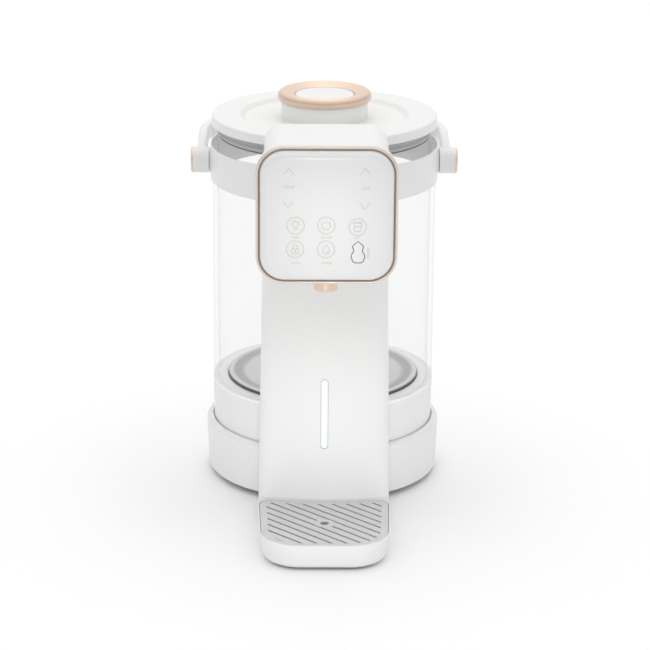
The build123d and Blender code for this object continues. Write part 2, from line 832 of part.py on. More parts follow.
with BuildPart() as light_board:
    with BuildSketch(front_plane(light_seat - light_flange_thick - board_thick, height=light_height)):
        Rectangle(light_w + 2 * light_flange, light_length + 2 * light_flange + light_board_margin)
    extrude(amount=board_thick)
save(light_board, "light_board")

# Panel: shell, trim ring, cover, touch board and display
with BuildPart() as panel_shell:
    extrude(panel_outline(0, head_reach), amount=panel_shell_depth)
    fillet(panel_shell.edges().group_by(Axis.Y)[-1], panel_shell_round)
    extrude(
        panel_outline(trim_w + fit_gap / 2, head_reach + panel_shell_wall),
        amount=panel_shell_depth,
        mode=Mode.SUBTRACT,
    )
    with BuildSketch(front_plane(head_reach, height=panel_z)):
        Rectangle(wire_hole_w, wire_hole_height)
    extrude(amount=panel_shell_wall, mode=Mode.SUBTRACT)
save(panel_shell, "panel_shell")

with BuildPart() as panel_trim:
    extrude(panel_outline(0, panel_face_reach), amount=trim_depth)
    extrude(panel_outline(trim_w, panel_face_reach), amount=trim_depth, mode=Mode.SUBTRACT)
    front_edges = panel_trim.edges().group_by(Axis.Y)[0]
    fillet(front_edges, trim_round_share * trim_w)
save(panel_trim, "panel_trim")

board_face = head_reach + panel_shell_wall + board_thick
with BuildPart() as touch_board:
    extrude(panel_outline(trim_w + panel_groove, head_reach + panel_shell_wall), amount=board_thick)
save(touch_board, "touch_board")

with BuildPart() as display_module:
    with BuildSketch(front_plane(board_face, height=panel_z + display_rise)):
        RectangleRounded(display_w, display_height, display_round)
    extrude(amount=display_thick)
save(display_module, "display_module")

cover_front = trim_reach + panel_proud
with BuildPart() as panel_cover:
    extrude(panel_outline(trim_w + panel_groove, board_face), amount=cover_front - board_face)
    fillet(panel_cover.edges().group_by(Axis.Y)[0], panel_edge_round)
    extrude(
        panel_outline(trim_w + panel_groove + panel_skin, board_face),
        amount=cover_front - board_face - panel_skin,
        mode=Mode.SUBTRACT,
    )
save(panel_cover, "panel_cover")

# Spout under the head, with a soft tip inside
spout_bottom = head_bottom - spout_drop
spout_bore = spout_r - spout_wall
with BuildPart() as spout_nozzle:
    with BuildSketch(level_plane(spout_bottom, reach=spout_reach)):
        Circle(spout_r)
    extrude(amount=spout_top - spout_bottom)
    fillet(spout_nozzle.edges().group_by(Axis.Z)[0], spout_round)
    with BuildSketch(level_plane(head_bottom + column_wall, reach=spout_reach)):
        Circle(spout_r + spout_flange)
    extrude(amount=spout_flange_thick)
    with BuildSketch(level_plane(spout_top, reach=spout_reach)):
        Circle(barb_r)
    extrude(amount=barb_length)
    with BuildSketch(level_plane(spout_bottom, reach=spout_reach)):
        Circle(spout_bore)
    extrude(amount=spout_top - spout_bottom - spout_roof, mode=Mode.SUBTRACT)
    with BuildSketch(level_plane(spout_bottom, reach=spout_reach)):
        Circle(barb_bore)
    extrude(amount=spout_top - spout_bottom + barb_length, mode=Mode.SUBTRACT)
save(spout_nozzle, "spout_nozzle")

with BuildPart() as nozzle_tip:
    with BuildSketch(level_plane(spout_bottom + tip_recess, reach=spout_reach)):
        Circle(spout_bore - run_gap)
        Circle(spout_bore - run_gap - tip_wall, mode=Mode.SUBTRACT)
    extrude(amount=tip_length)
save(nozzle_tip, "nozzle_tip")

# Foot of the jug: a white ring that carries the glass and the heating plate
ledge_top = cover_top + cover_ledge
with BuildPart() as jug_foot:
    with BuildSketch(jug_section):
        with BuildLine():
            Polyline(
                (jug_foot_bore, deck_top),
                (glass_r - jug_foot_taper, deck_top),
                (glass_r, glass_seat),
                (spigot_r, glass_seat),
                (spigot_r, jug_floor),
                (heater_hole_r, jug_floor),
                (heater_hole_r, flange_top),
                (jug_foot_bore, flange_top),
                (jug_foot_bore, ledge_top),
                (jug_foot_bore - cover_ledge, ledge_top),
                (jug_foot_bore - cover_ledge, cover_top),
                (jug_foot_bore, cover_top),
                close=True,
            )
        make_face()
    revolve(axis=jug_axis)
    sole_ring = jug_foot.edges().group_by(Axis.Z)[0].sort_by(SortBy.RADIUS)[-1]
    fillet(sole_ring, jug_foot_round)
save(jug_foot, "jug_foot")

with BuildPart() as glass_gasket:
    with BuildSketch(jug_section):
        with BuildLine():
            Polyline(
                (spigot_r, glass_seat),
                (glass_r - run_gap, glass_seat),
                (glass_r - run_gap, glass_bottom),
                (glass_bore, glass_bottom),
                (glass_bore, glass_bottom + gasket_skirt),
                (spigot_r, glass_bottom + gasket_skirt),
                close=True,
            )
        make_face()
    revolve(axis=jug_axis)
save(glass_gasket, "glass_gasket")

with BuildPart() as jug_glass:
    with BuildSketch(level_plane(glass_bottom)):
        Circle(glass_r)
        Circle(glass_bore, mode=Mode.SUBTRACT)
    extrude(amount=glass_height)
    fillet(jug_glass.edges().group_by(Axis.Z)[-1], glass_rim_round)
save(jug_glass, "jug_glass")

# Heating plate: a pressed sheet with a raised crown, a dish and the outlet hole
crown_r = plate_r - plate_crown
dish_r = crown_r - plate_slope
with BuildPart() as heater_plate:
    with BuildSketch(jug_section):
        with BuildLine():
            Polyline(
                (0, heater_under),
                (dish_r, heater_under),
                (crown_r, heater_top - plate_sheet),
                (plate_r - plate_sheet, heater_top - plate_sheet),
                (plate_r - plate_sheet, flange_top - plate_sheet),
                (heater_flange_r, flange_top - plate_sheet),
                (heater_flange_r, flange_top),
                (plate_r, flange_top),
                (plate_r, heater_top),
                (crown_r, heater_top),
                (dish_r, heater_floor),
                (0, heater_floor),
                close=True,
            )
        make_face()
    revolve(axis=jug_axis)
    top_ring = heater_plate.edges().group_by(Axis.Z)[-1].sort_by(SortBy.RADIUS)[-1]
    fillet(top_ring, plate_round)
    with BuildSketch(level_plane(heater_under - overrun, reach=valve_reach)):
        Circle(valve_bore)
    extrude(amount=plate_sheet + 2 * overrun, mode=Mode.SUBTRACT)
save(heater_plate, "heater_plate")

# Heating element: an open ring under the plate, clear of the valve
gap_half = radians(element_gap_deg / 2)
element_start = Plane(
    origin=(0, jug_y, 0),
    x_dir=(sin(gap_half), -cos(gap_half), 0),
    z_dir=(-cos(gap_half), -sin(gap_half), 0),
)
with BuildPart() as heater_element:
    with BuildSketch(element_start):
        with Locations((element_r, heater_under - element_tube_r - run_gap)):
            Circle(element_tube_r)
    revolve(axis=jug_axis, revolution_arc=360 - element_gap_deg)
save(heater_element, "heater_element")

# Cover that closes the foot of the jug from below
with BuildPart() as jug_cover:
    with BuildSketch(level_plane(cover_bottom)):
        Circle(jug_foot_bore - fit_gap)
        Circle(coupler_r + fit_gap, mode=Mode.SUBTRACT)
        with Locations((0, -valve_reach)):
            Circle(bell_bore + bell_wall + fit_gap, mode=Mode.SUBTRACT)
    extrude(amount=cover_thick)
save(jug_cover, "jug_cover")

coupler_ceiling = deck_top + pillar_rise + contact_rise + slide_gap
with BuildPart() as jug_coupler:
    with BuildSketch(level_plane(cover_bottom)):
        Circle(coupler_r)
    extrude(amount=coupler_ceiling + coupler_roof - cover_bottom)
    with BuildSketch(level_plane(cover_top)):
        Circle(coupler_r + coupler_flange)
    extrude(amount=coupler_flange_thick)
    with BuildSketch(level_plane(cover_bottom)):
        Circle(coupler_bore)
    extrude(amount=coupler_ceiling - cover_bottom, mode=Mode.SUBTRACT)
save(jug_coupler, "jug_coupler")

# Outlet valve of the jug
with BuildPart() as valve_body:
    with BuildSketch(level_plane(cover_bottom, reach=valve_reach)):
        Circle(bell_bore + bell_wall)
    extrude(amount=valve_seat - cover_bottom)
    with BuildSketch(level_plane(cover_top, reach=valve_reach)):
        Circle(bell_flange_r)
    extrude(amount=bell_flange_thick)
    with BuildSketch(level_plane(valve_seat, reach=valve_reach)):
        Circle(valve_bore + valve_wall)
    extrude(amount=heater_under - valve_seat)
    with BuildSketch(level_plane(cover_bottom, reach=valve_reach)):
        Circle(bell_bore)
    extrude(amount=bell_height, mode=Mode.SUBTRACT)
    with BuildSketch(level_plane(bell_roof, reach=valve_reach)):
        Circle(valve_port_r)
    extrude(amount=valve_seat_thick, mode=Mode.SUBTRACT)
    with BuildSketch(level_plane(valve_seat, reach=valve_reach)):
        Circle(valve_bore)
    extrude(amount=heater_under - valve_seat, mode=Mode.SUBTRACT)
save(valve_body, "valve_body")

poppet_face = valve_seat + poppet_lift
with BuildPart() as valve_poppet:
    with BuildSketch(level_plane(poppet_face, reach=valve_reach)):
        Circle(poppet_head_r)
    extrude(amount=poppet_head_thick)
    fillet(valve_poppet.edges().group_by(Axis.Z)[-1], poppet_round)
    with BuildSketch(level_plane(pin_top, reach=valve_reach)):
        Circle(poppet_stem_r)
    extrude(amount=poppet_face - pin_top)
save(valve_poppet, "valve_poppet")

with BuildPart() as valve_cap:
    with BuildSketch(level_plane(heater_under - cap_thick, reach=valve_reach)):
        Circle(valve_bore - run_gap)
        with PolarLocations(cap_hole_spread, cap_holes):
            Circle(cap_hole_r, mode=Mode.SUBTRACT)
    extrude(amount=cap_thick)
save(valve_cap, "valve_cap")

# Collar around the glass, with a lug and a trunnion on each side
with BuildPart() as jug_collar:
    with BuildSketch(level_plane(collar_bottom)):
        Circle(collar_r)
        Circle(glass_r + fit_gap, mode=Mode.SUBTRACT)
    extrude(amount=collar_height)
    fillet(jug_collar.faces().filter_by(Plane.XY).edges().sort_by(SortBy.RADIUS)[-2:], collar_round)
    for side in (-1, 1):
        lug_face = Plane(
            origin=(side * (glass_r + fit_gap), jug_y, hub_z), x_dir=(0, side, 0), z_dir=(side, 0, 0)
        )
        with BuildSketch(lug_face):
            Circle(lug_r)
        extrude(amount=collar_thick + lug_proud)
        with BuildSketch(lug_face):
            Circle(trunnion_r)
        extrude(amount=collar_thick + lug_proud + slide_gap + trunnion_length)
save(jug_collar, "jug_collar")

# Bail handle with a hub at each end
tilt = radians(bail_tilt)
bail_plane = Plane(origin=(0, jug_y, hub_z), x_dir=(1, 0, 0), z_dir=(0, -sin(tilt), cos(tilt)))
with BuildPart() as bail_handle:
    with BuildLine(bail_plane) as bail_route:
        FilletPolyline(
            (-bail_arm_x, 0),
            (-bail_arm_x, bail_length),
            (bail_arm_x, bail_length),
            (bail_arm_x, 0),
            radius=bail_bend,
        )
    bail_path = bail_route.wires()[0]
    arm_start = Plane(
        origin=(-bail_arm_x, jug_y, hub_z), x_dir=(1, 0, 0), z_dir=(0, cos(tilt), sin(tilt))
    )
    with BuildSketch(arm_start):
        RectangleRounded(bail_w, bail_depth, bail_round)
    sweep(path=bail_path)
    for side in (-1, 1):
        hub_face = Plane(origin=(side * hub_start, jug_y, hub_z), x_dir=(0, side, 0), z_dir=(side, 0, 0))
        with BuildSketch(hub_face):
            Circle(hub_r)
        extrude(amount=hub_length)
        with BuildSketch(hub_face):
            Circle(trunnion_r + run_gap)
        extrude(amount=trunnion_length + fit_gap, mode=Mode.SUBTRACT)
save(bail_handle, "bail_handle")

with BuildPart() as hub_trims:
    for side in (-1, 1):
        trim_face = Plane(
            origin=(side * (hub_start + hub_length), jug_y, hub_z), x_dir=(0, side, 0), z_dir=(side, 0, 0)
        )
        with BuildSketch(trim_face):
            Circle(hub_r)
        extrude(amount=hub_trim_thick)
    outer_edges = hub_trims.edges().group_by(Axis.X)
    fillet(outer_edges[0] + outer_edges[-1], hub_round)
save(hub_trims, "hub_trims")

# Lid: a white cover with a dished top, a liner below it and a seal between them and the glass
lid_dish_edge = lid_r - lid_land
lid_dish_r = lid_dish_edge - lid_slope
lid_under = lid_top - lid_wall
with BuildPart() as lid_cover:
    with BuildSketch(jug_section):
        with BuildLine():
            Polyline(
                (0, lid_dish_under),
                (lid_dish_r, lid_dish_under),
                (lid_dish_edge, lid_under),
                (lid_r - lid_wall, lid_under),
                (lid_r - lid_wall, lid_bottom),
                (lid_r, lid_bottom),
                (lid_r, lid_top),
                (lid_dish_edge, lid_top),
                (lid_dish_r, lid_dish),
                (0, lid_dish),
                close=True,
            )
        make_face()
    revolve(axis=jug_axis)
    lid_rim = lid_cover.edges().group_by(Axis.Z)[-1].sort_by(SortBy.RADIUS)[-1]
    fillet(lid_rim, lid_rim_round)
    with BuildSketch(level_plane(lid_dish_under)):
        Circle(knob_screw_r + fit_gap)
    extrude(amount=lid_wall, mode=Mode.SUBTRACT)
save(lid_cover, "lid_cover")

liner_bottom = glass_top - liner_depth
with BuildPart() as lid_liner:
    with BuildSketch(jug_section):
        with BuildLine():
            Polyline(
                (0, liner_bottom),
                (liner_r, liner_bottom),
                (liner_r, lid_under),
                (liner_r - liner_wall, lid_under),
                (liner_r - liner_wall, liner_bottom + liner_floor),
                (0, liner_bottom + liner_floor),
                close=True,
            )
        make_face()
    revolve(axis=jug_axis)
save(lid_liner, "lid_liner")

seal_bore = liner_r + run_gap
seal_bottom = glass_top - seal_drop
seal_band = (lid_bottom - seal_bottom) / 4
with BuildPart() as lid_seal:
    with BuildSketch(jug_section):
        with BuildLine():
            Polyline(
                (seal_bore, seal_bottom),
                (seal_bore + seal_lip, seal_bottom),
                (seal_bore + seal_lip, seal_bottom + seal_band),
                (seal_bore + seal_groove, seal_bottom + seal_band),
                (seal_bore + seal_groove, seal_bottom + 2 * seal_band),
                (seal_bore + seal_lip, seal_bottom + 2 * seal_band),
                (seal_bore + seal_lip, glass_top),
                (lid_r - lid_wall, glass_top),
                (lid_r - lid_wall, lid_bottom),
                (seal_bore, lid_bottom),
                close=True,
            )
        make_face()
    revolve(axis=jug_axis)
save(lid_seal, "lid_seal")

# Knob: a hollow neck, a rounded metal ring and a cap
with BuildPart() as knob_neck:
    with BuildSketch(level_plane(lid_dish)):
        Circle(knob_neck_r)
    extrude(amount=knob_neck_height)
    fillet(knob_neck.edges().group_by(Axis.Z)[-1], knob_neck_round)
    with BuildSketch(level_plane(lid_dish)):
        Circle(knob_neck_r - knob_neck_wall)
        Circle(knob_boss_r, mode=Mode.SUBTRACT)
    extrude(amount=knob_neck_height - knob_neck_wall, mode=Mode.SUBTRACT)
    with BuildSketch(level_plane(lid_dish)):
        Circle(knob_screw_r + run_gap)
    extrude(amount=knob_screw_length, mode=Mode.SUBTRACT)
save(knob_neck, "knob_neck")

knob_ring_bore = knob_cap_r + fit_gap
knob_top = knob_seat + knob_ring_height
knob_ridge_r = knob_ring_r - knob_ring_height / 2
with BuildPart() as knob_ring:
    with BuildSketch(jug_section):
        with BuildLine():
            Polyline(
                (knob_ridge_r, knob_top),
                (knob_ring_bore, knob_top - knob_ring_fall),
                (knob_ring_bore, knob_seat),
                (knob_ring_r - knob_ring_foot, knob_seat),
            )
            ThreePointArc(
                (knob_ring_r - knob_ring_foot, knob_seat),
                (knob_ring_r, knob_seat + knob_ring_height / 2),
                (knob_ridge_r, knob_top),
            )
        make_face()
    revolve(axis=jug_axis)
save(knob_ring, "knob_ring")

with BuildPart() as knob_cap:
    with BuildSketch(level_plane(knob_seat)):
        Circle(knob_cap_r)
    extrude(amount=knob_ring_height - knob_ring_fall)
    fillet(knob_cap.edges().group_by(Axis.Z)[-1], knob_cap_round)
save(knob_cap, "knob_cap")

with BuildPart() as knob_screw:
    with BuildSketch(level_plane(lid_dish_under - knob_screw_head_thick)):
        Circle(knob_screw_head_r)
    extrude(amount=knob_screw_head_thick)
    with BuildSketch(level_plane(lid_dish_under)):
        Circle(knob_screw_r)
    extrude(amount=knob_screw_length + lid_wall - fit_gap)
save(knob_screw, "knob_screw")

# Drip tray: an open cup with a ledge for the grille and two tongues that slide into the column
with BuildPart() as drip_tray:
    extrude(tray_plan(0, tray_top), amount=-tray_height, taper=tray_draft)
    fillet(drip_tray.edges().group_by(Axis.Z)[0], tray_sole_round)
    extrude(tray_plan(tray_rim, grille_top - grille_thick), amount=tray_height, mode=Mode.SUBTRACT)
    extrude(
        tray_plan(tray_rim + tray_ledge, tray_top),
        amount=tray_floor - tray_height,
        taper=tray_draft,
        mode=Mode.SUBTRACT,
    )
    for x in (-tongue_x, tongue_x):
        root_reach = front_arc_reach(tongue_x, slide_gap) + tray_rim + tray_ledge
        with BuildSketch(front_plane(root_reach, x=x, height=tongue_z)):
            Rectangle(tongue_w, tongue_thick)
        extrude(amount=-tongue_length - tray_rim - tray_ledge)
save(drip_tray, "drip_tray")

with BuildPart() as tray_feet:
    with BuildSketch(level_plane(0)):
        with Locations(*[(x, tray_foot_inset - tray_reach) for x in (-tray_foot_x, tray_foot_x)]):
            Circle(tray_foot_r)
    extrude(amount=tray_clear)
save(tray_feet, "tray_feet")

# Grille: slanted slots inside a plain border, round a plain middle with one hole
grille_mid = (column_reach + tray_reach) / 2
grille_inset = tray_rim + slide_gap
with BuildSketch(Plane.XY.offset(grille_top)) as slot_pattern:
    with Locations(Location((0, jug_y - grille_mid, 0), -grille_angle)):
        with GridLocations(tray_reach, grille_pitch, 1, grille_slots):
            Rectangle(2 * tray_w, grille_slot_w)
    add(tray_plan(grille_inset + grille_border, 0), mode=Mode.INTERSECT)
    with Locations((0, jug_y - grille_mid)):
        Circle(grille_island_r, mode=Mode.SUBTRACT)
        Circle(grille_hole_r)
with BuildPart() as drip_grille:
    extrude(tray_plan(grille_inset, grille_top - grille_thick), amount=grille_thick)
    extrude(slot_pattern.sketch, amount=-grille_thick, mode=Mode.SUBTRACT)
save(drip_grille, "drip_grille")
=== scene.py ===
import math

import bmesh
import bpy
from mathutils import Matrix, Vector


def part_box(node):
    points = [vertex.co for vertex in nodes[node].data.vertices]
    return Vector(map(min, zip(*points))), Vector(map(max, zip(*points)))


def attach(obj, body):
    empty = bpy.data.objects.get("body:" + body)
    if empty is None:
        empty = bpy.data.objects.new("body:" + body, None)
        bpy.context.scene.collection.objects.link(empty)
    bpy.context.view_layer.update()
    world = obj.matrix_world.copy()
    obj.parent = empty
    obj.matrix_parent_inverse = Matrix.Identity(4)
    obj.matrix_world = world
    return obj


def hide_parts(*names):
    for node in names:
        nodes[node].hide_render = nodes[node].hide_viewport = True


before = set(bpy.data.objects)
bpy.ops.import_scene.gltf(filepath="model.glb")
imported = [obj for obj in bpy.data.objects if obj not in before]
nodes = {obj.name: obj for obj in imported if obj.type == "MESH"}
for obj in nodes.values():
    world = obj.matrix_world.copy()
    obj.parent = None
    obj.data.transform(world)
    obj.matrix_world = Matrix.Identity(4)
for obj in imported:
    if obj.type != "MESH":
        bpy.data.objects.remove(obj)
# Blender's own first objects
for spare in ("Cube", "Light", "Camera"):
    if spare in bpy.data.objects:
        bpy.data.objects.remove(bpy.data.objects[spare])
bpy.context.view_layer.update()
MM = 0.001

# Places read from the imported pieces
cover_low, cover_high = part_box("panel_cover")
glass_low, glass_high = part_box("jug_glass")
gasket_low, gasket_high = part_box("glass_gasket")
PANEL_Z = (cover_low[2] + cover_high[2]) / 2
PANEL_FACE = cover_low[1]
TRIM_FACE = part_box("panel_trim")[0][1]
JUG_Y = (glass_low[1] + glass_high[1]) / 2
JUG_AXIS = (0.0, JUG_Y, 0.0)
BED_TOP = gasket_high[2]

# Where one tone of a finish turns into the next, over the width of TONE_EDGE
TONE_EDGE = 0.4 * MM
COLLAR_FIT = 0.4 * MM
COLLAR_BORE = (glass_high[0] - glass_low[0]) / 2 + COLLAR_FIT
# Height of the band of painted shade along the liner's lower edge
EDGE_SHADE_HEIGHT = 0.6 * MM
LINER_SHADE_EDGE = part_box("lid_liner")[0][2] + EDGE_SHADE_HEIGHT

# Radii of the heating plate where it slopes up, crowns and drops to its outer wall, where its
# painted shade and painted highlight begin
PLATE_SLOPE_SHADE = (48.0 * MM, 52.5 * MM)
PLATE_CROWN_HIGHLIGHT = (55.5 * MM, 57.5 * MM)
PLATE_WALL_SHADE = (59.2 * MM, 60.0 * MM)


class Signal:
    """A socket of a finish, so that sums on it are written as plain expressions."""

    def __init__(self, finish, socket):
        self.finish = finish
        self.socket = socket

    def sum(self, operation, first, second):
        """Add a Math node."""
        return self.finish.node("Math", {"operation": operation}, {0: first, 1: second})

    def __add__(self, other):
        return self.sum("ADD", self, other)

    def __radd__(self, other):
        return self.sum("ADD", other, self)

    def __sub__(self, other):
        return self.sum("SUBTRACT", self, other)

    def __rsub__(self, other):
        return self.sum("SUBTRACT", other, self)

    def __mul__(self, other):
        return self.sum("MULTIPLY", self, other)

    def __rmul__(self, other):
        return self.sum("MULTIPLY", other, self)

    def __pow__(self, other):
        return self.sum("POWER", self, other)

    def __rpow__(self, other):
        return self.sum("POWER", other, self)


class Shading:
    """A tree of shader nodes and the shader that it feeds."""

    def __init__(self, owner, shader):
        owner.use_nodes = True
        self.tree = owner.node_tree
        self.shader = self.tree.nodes[shader]

    def node(self, kind, settings, values, output=0):
        """Add a node: its settings first, then the values or links of its sockets."""
        made = self.tree.nodes.new("ShaderNode" + kind)
        for name, value in settings.items():
            setattr(made, name, value)
        for socket, value in values.items():
            if isinstance(value, Signal):
                self.tree.links.new(value.socket, made.inputs[socket])
            else:
                made.inputs[socket].default_value = value
        return Signal(self, made.outputs[output])

    def feed(self, socket, signal):
        """Link a signal to a socket of the shader."""
        self.tree.links.new(signal.socket, self.shader.inputs[socket])

    def axes(self, vector):
        """The three parts of a vector."""
        split = self.node("SeparateXYZ", {}, {"Vector": vector})
        return [Signal(self, output) for output in split.socket.node.outputs]


class Finish(Shading):
    """A material, with the constants of its shader set on the shader itself."""

    def __init__(self, name, constants):
        self.material = bpy.data.materials.new(name)
        super().__init__(self.material, "Principled BSDF")
        for socket, value in constants.items():
            self.shader.inputs[socket].default_value = value

    def place(self):
        """Where the point lies on the object, in metres."""
        return self.node("TexCoord", {}, {}, "Object")

    def stretched(self, scale):
        """The place, multiplied by a scale for each axis."""
        return self.node("VectorMath", {"operation": "MULTIPLY"}, {0: self.place(), 1: scale})

    def noise(self, scale, detail, vector=None):
        """Soft noise from 0 to 1, by the place unless a vector is given."""
        where = self.place() if vector is None else vector
        return self.node("TexNoise", {}, {"Vector": where, "Scale": scale, "Detail": detail})

    def streaks(self, scale, detail):
        """Noise drawn out by a scale for each axis."""
        return self.noise(1.0, detail, self.stretched(scale))

    def band(self, value, low, high):
        """0 below low, 1 above high, and smooth between them."""
        settings = {"interpolation_type": "SMOOTHSTEP"}
        return self.node("MapRange", settings, {"Value": value, "From Min": low, "From Max": high})

    def tint(self, mask, first, second):
        """A colour that goes from first to second with the mask."""
        return self.node("Mix", {"data_type": "RGBA"}, {0: mask, 6: first, 7: second}, 2)

    def relief(self, height, distance):
        """Bump the surface by a height that is a share of distance, in millimetres."""
        bump = {"Height": height, "Distance": distance * MM, "Strength": 1.0}
        self.feed("Normal", self.node("Bump", {}, bump))

    def polar(self, centre):
        """Distance from an upright axis, and the angle round it."""
        values = {0: self.place(), 1: centre}
        x, y, _ = self.axes(self.node("VectorMath", {"operation": "SUBTRACT"}, values))
        radius = (x * x + y * y) ** 0.5
        angle = self.node("Math", {"operation": "ARCTAN2"}, {0: y, 1: x})
        return radius, angle


def colour(red, green, blue):
    """An opaque colour."""
    return (red, green, blue, 1.0)


def grey(value):
    """A neutral colour."""
    return colour(value, value, value)


def toned(tone, share):
    """A tone made lighter or darker by a share."""
    return colour(*(value * share for value in tone))


def moulded_white(name, rim=None, bore=None):
    """Glossy white shell with a faint cloud and a fine moulded skin.

    Above the height of a rim, or inside the radius of a bore round the jug, it is whiter: painted
    light for parts that sit in shade.
    """
    finish = Finish(name, {"Coat Roughness": 0.12, "Coat Weight": 0.2, "IOR": 1.5})
    cloud = finish.noise(scale=14.0, detail=3.0)
    skin = finish.noise(scale=2600.0, detail=2.0)
    shell = finish.tint(cloud, colour(0.79, 0.79, 0.785), colour(0.82, 0.82, 0.815))
    # Painted light: a whiter tone that lifts surfaces sitting in shade
    painted_light_white = finish.tint(cloud, colour(0.91, 0.91, 0.905), colour(0.94, 0.94, 0.935))
    if rim is not None:
        _, _, height = finish.axes(finish.place())
        shell = finish.tint(finish.band(height, rim - TONE_EDGE, rim), shell, painted_light_white)
    if bore is not None:
        radius, _ = finish.polar(JUG_AXIS)
        shell = finish.tint(finish.band(radius, bore, bore + TONE_EDGE), painted_light_white, shell)
    finish.feed("Base Color", shell)
    finish.feed("Roughness", 0.3 + cloud * 0.08 + skin * 0.05)
    finish.relief(skin, 0.02)
    return finish.material


def rose_gold(name, dim, light):
    """Plated metal in a warm peach, with fine brushing and a slow change of tone."""
    finish = Finish(name, {"Metallic": 0.45})
    cloud = finish.noise(scale=60.0, detail=3.0)
    brush = finish.streaks((350.0, 350.0, 5200.0), detail=2.0)
    finish.feed("Base Color", finish.tint(cloud, colour(*dim), colour(*light)))
    finish.feed("Roughness", 0.26 + brush * 0.14)
    finish.relief(brush, 0.01)
    return finish.material


def clear_glass():
    """Clear jug glass, faintly wiped, greyer where it turns away: that grey is painted shade in
    place of the dark edges of glass.

    It doesn't show where it is bedded in its ring.
    """
    finish = Finish("clear_glass", {"IOR": 1.47})
    wipe = finish.streaks((40.0, 40.0, 9.0), detail=3.0)
    turned = finish.node("LayerWeight", {}, {"Blend": 0.5}, "Facing")
    _, _, height = finish.axes(finish.place())
    free = finish.band(height, BED_TOP, BED_TOP + TONE_EDGE)
    # Painted shade: grey that shows where the glass turns away, in place of the dark edges glass
    # has there
    shade = finish.tint(wipe, colour(0.36, 0.37, 0.37), colour(0.42, 0.43, 0.43))
    finish.feed("Base Color", shade)
    finish.feed("Roughness", 0.03 + finish.band(wipe, 0.5, 0.8) * 0.03)
    finish.feed("Alpha", (0.04 + turned ** 9.0 * 0.45) * free)
    return finish.material


def turned_steel():
    """Heating plate with turned rings and a slow change of tone, darker on its slope and wall with
    painted shade, lighter on its crown with a painted highlight.
    """
    finish = Finish("turned_steel", {"Metallic": 0.8})
    radius, angle = finish.polar(JUG_AXIS)
    ring_place = finish.node("CombineXYZ", {}, {"X": radius * 2600.0, "Y": angle * 1.2})
    rings = finish.noise(scale=1.0, detail=2.0, vector=ring_place)
    cloud = finish.noise(scale=38.0, detail=4.0)
    middle = finish.tint(cloud, grey(0.62), colour(0.69, 0.69, 0.685))
    # Painted shade on the slope, a painted highlight on the crown and painted shade on the outer
    # wall
    slope_shade = finish.tint(finish.band(radius, *PLATE_SLOPE_SHADE), middle, grey(0.43))
    crown_highlight = finish.tint(finish.band(radius, *PLATE_CROWN_HIGHLIGHT), slope_shade, grey(0.68))
    finish.feed("Base Color", finish.tint(finish.band(radius, *PLATE_WALL_SHADE), crown_highlight, grey(0.1)))
    finish.feed("Roughness", 0.24 + rings * 0.18 + cloud * 0.08)
    finish.relief(rings, 0.03)
    return finish.material


def satin_grey():
    """Grille of satin grey metal, brushed from side to side."""
    finish = Finish("satin_grey", {"Metallic": 0.3})
    brush = finish.streaks((160.0, 5200.0, 5200.0), detail=2.0)
    cloud = finish.noise(scale=50.0, detail=3.0)
    metal = finish.tint(cloud, colour(0.63, 0.63, 0.635), colour(0.69, 0.69, 0.695))
    finish.feed("Base Color", metal)
    finish.feed("Roughness", 0.34 + brush * 0.16)
    finish.relief(brush, 0.02)
    return finish.material


def soft_seal(name, tone, shade_edge=None):
    """Silicone with a dull skin, and painted shade as a dark band below a height where one is
    given.
    """
    finish = Finish(name, {"Sheen Weight": 0.15})
    cloud = finish.noise(scale=120.0, detail=3.0)
    skin = finish.noise(scale=3600.0, detail=1.0)
    body = finish.tint(cloud, colour(*tone), toned(tone, 1.15))
    if shade_edge is not None:
        _, _, height = finish.axes(finish.place())
        # Painted shade: a dark band along the lower edge, below the given height
        body = finish.tint(finish.band(height, shade_edge, shade_edge + TONE_EDGE), grey(0.07), body)
    finish.feed("Base Color", body)
    finish.feed("Roughness", 0.5 + skin * 0.12)
    finish.relief(skin, 0.02)
    return finish.material


def foot_rubber():
    """Pale rubber feet, with a fine grain and scuffed dust."""
    finish = Finish("foot_rubber", {})
    grain = finish.noise(scale=3000.0, detail=3.0)
    dust = finish.band(finish.noise(scale=260.0, detail=4.0), 0.52, 0.75)
    rubber = finish.tint(dust, colour(0.56, 0.56, 0.555), colour(0.44, 0.435, 0.42))
    finish.feed("Base Color", rubber)
    finish.feed("Roughness", 0.62 + grain * 0.2)
    finish.relief(grain, 0.05)
    return finish.material


def milky_hose():
    """Clear silicone hose, slightly milky."""
    finish = Finish("milky_hose", {"Transmission Weight": 0.6, "IOR": 1.41})
    cloud = finish.noise(scale=300.0, detail=2.0)
    silicone = finish.tint(cloud, colour(0.82, 0.83, 0.83), colour(0.9, 0.91, 0.91))
    finish.feed("Base Color", silicone)
    finish.feed("Roughness", 0.22 + cloud * 0.16)
    return finish.material


def hidden_moulding(name, tone, dullness):
    """Hidden mouldings: a spark-etched skin over one tone."""
    finish = Finish(name, {})
    etch = finish.noise(scale=2100.0, detail=4.0)
    cloud = finish.noise(scale=45.0, detail=2.0)
    finish.feed("Base Color", finish.tint(cloud, colour(*tone), toned(tone, 1.25)))
    finish.feed("Roughness", dullness + etch * 0.16)
    finish.relief(etch, 0.04)
    return finish.material


